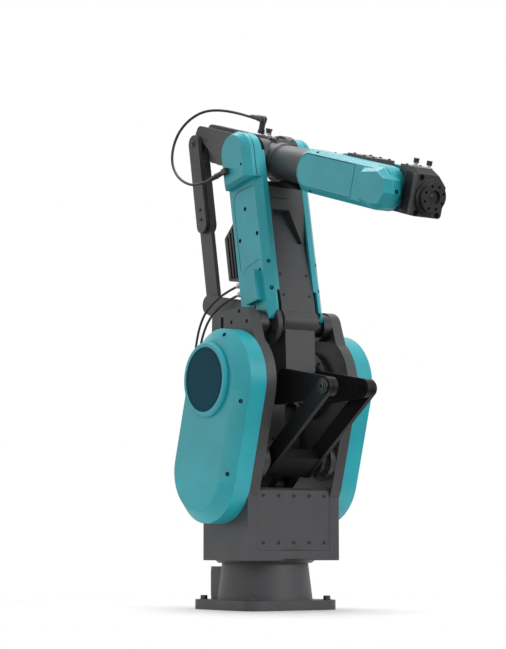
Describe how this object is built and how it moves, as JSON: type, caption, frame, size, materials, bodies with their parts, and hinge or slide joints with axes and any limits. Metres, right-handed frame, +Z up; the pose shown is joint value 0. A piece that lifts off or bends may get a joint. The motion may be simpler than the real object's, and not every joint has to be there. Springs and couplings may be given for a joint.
{
  "type": "articulated robot arm",
  "caption": "Articulated robot arm on a bolted base: turning carousel with side pods, lower arm moved by parallelogram linkages, and a forearm with wrist and tool flange.",
  "frame": {"origin": "centre of the base's underside, on the first axis", "axes": "+Z up along the first axis, +X the way the forearm reaches, +Y to the far side"},
  "size_m": [0.8777, 0.392, 1.1761],
  "materials": {
    "teal_cover": "satin moulded cover",
    "dark_casting": "dark grey powder coat",
    "base_iron": "dark grey powder coat",
    "black_link": "black anodised",
    "gear_housing": "black satin housing",
    "shaft_steel": "blackened steel",
    "flange_steel": "blackened steel",
    "bright_connector": "nickel",
    "black_plastic": "satin",
    "cable_rubber": "matt jacket"
  },
  "bodies": {
    "base": {"base_casting": "base_iron", "base_connector_panel": "dark_casting", "first_axis_gear": "gear_housing"},
    "carousel": {"turntable": "dark_casting", "near_side_plate": "dark_casting", "far_side_plate": "dark_casting", "near_pod_cover": "teal_cover", "far_pod_cover": "teal_cover", "near_pod_lid": "teal_cover", "far_pod_lid": "teal_cover", "near_axis_gear": "gear_housing", "far_axis_gear": "gear_housing", "near_motor": "gear_housing", "far_motor": "gear_housing", "near_gear_bracket": "dark_casting", "far_gear_bracket": "dark_casting", "near_gear_unit": "gear_housing", "far_gear_unit": "gear_housing", "front_wall": "dark_casting", "shoulder_shaft": "shaft_steel", "side_cable_inlet": "black_plastic"},
    "lower_arm": {"arm_casting": "dark_casting", "elbow_shaft": "shaft_steel", "near_arm_cover": "teal_cover", "far_arm_cover": "teal_cover", "near_elbow_cap": "teal_cover", "far_elbow_cap": "teal_cover", "near_lever_plate": "black_link", "far_lever_plate": "black_link", "front_lever_pin": "shaft_steel", "far_front_lever_pin": "shaft_steel", "arm_connector_box": "teal_cover", "harness_guard": "black_plastic", "upper_cable_gland": "bright_connector", "lower_cable_gland": "bright_connector", "cap_cable_plug": "black_plastic", "elbow_cable_run": "cable_rubber", "upper_side_cable": "cable_rubber", "lower_side_cable": "cable_rubber"},
    "fork": {"lower_fork": "black_link"},
    "shoulder_crank": {"shoulder_crank": "black_link"},
    "elbow_crank": {"elbow_crank": "dark_casting"},
    "tie_rod": {"tie_rod_bar": "dark_casting", "tie_rod_near_cheek": "dark_casting", "tie_rod_far_cheek": "dark_casting", "tie_rod_pin": "shaft_steel"},
    "elbow": {"elbow_casting": "dark_casting", "top_cable_plug": "black_plastic", "top_socket": "bright_connector"},
    "forearm": {"forearm_tube": "dark_casting", "near_forearm_cover": "teal_cover", "far_forearm_cover": "teal_cover", "forearm_spine": "dark_casting"},
    "wrist": {"wrist_block": "dark_casting", "wrist_connector_rear": "black_plastic", "wrist_connector_front": "black_plastic"},
    "tool_flange": {"tool_flange": "flange_steel"}
  },
  "joints": [
    {"name": "j1_base_turn", "type": "hinge", "parent": "base", "child": "carousel", "pos_m": [0, 0, 0.105], "axis": [0, 0, 1], "range_deg": [-170, 170]},
    {"name": "j2_shoulder", "type": "hinge", "parent": "carousel", "child": "lower_arm", "pos_m": [0.094, 0, 0.638], "axis": [0, 1, 0], "range_deg": [-15, 60], "deforming": ["upper_side_cable", "lower_side_cable"]},
    {"name": "j3_elbow", "type": "hinge", "parent": "lower_arm", "child": "elbow", "pos_m": [0.02203, 0, 1.03401], "axis": [0, 1, 0], "range_deg": [-60, 8], "deforming": ["elbow_cable_run"]},
    {"name": "j4_forearm_roll", "type": "hinge", "parent": "elbow", "child": "forearm", "pos_m": [0.02203, 0, 1.03401], "axis": [0.9583, 0, -0.2857], "range_deg": [-170, 170]},
    {"name": "j5_wrist_bend", "type": "hinge", "parent": "forearm", "child": "wrist", "pos_m": [0.49928, 0, 0.89174], "axis": [0, 1, 0], "range_deg": [-90, 90]},
    {"name": "j6_flange_turn", "type": "hinge", "parent": "wrist", "child": "tool_flange", "pos_m": [0.60661, 0, 0.85974], "axis": [0.9583, 0, -0.2857], "range_deg": [-180, 180]},
    {"name": "fork_pivot", "type": "hinge", "parent": "lower_arm", "child": "fork", "pos_m": [0.309, 0, 0.485], "axis": [0, 1, 0], "range_deg": [-60, 15]},
    {"name": "crank_pivot", "type": "hinge", "parent": "carousel", "child": "shoulder_crank", "pos_m": [-0.183, 0, 0.435], "axis": [0, 1, 0], "range_deg": [-15, 60]},
    {"name": "elbow_crank_pivot", "type": "hinge", "parent": "lower_arm", "child": "elbow_crank", "pos_m": [0.094, 0, 0.638], "axis": [0, 1, 0], "range_deg": [-60, 8]},
    {"name": "tie_rod_pivot", "type": "hinge", "parent": "elbow", "child": "tie_rod", "pos_m": [-0.21697, 0, 1.10101], "axis": [0, 1, 0], "range_deg": [-8, 60]}
  ],
  "couplings": [
    {"joint": "fork_pivot", "follows": "j2_shoulder", "ratio": -1},
    {"joint": "crank_pivot", "follows": "j2_shoulder", "ratio": 1},
    {"joint": "elbow_crank_pivot", "follows": "j3_elbow", "ratio": 1},
    {"joint": "tie_rod_pivot", "follows": "j3_elbow", "ratio": -1}
  ]
}
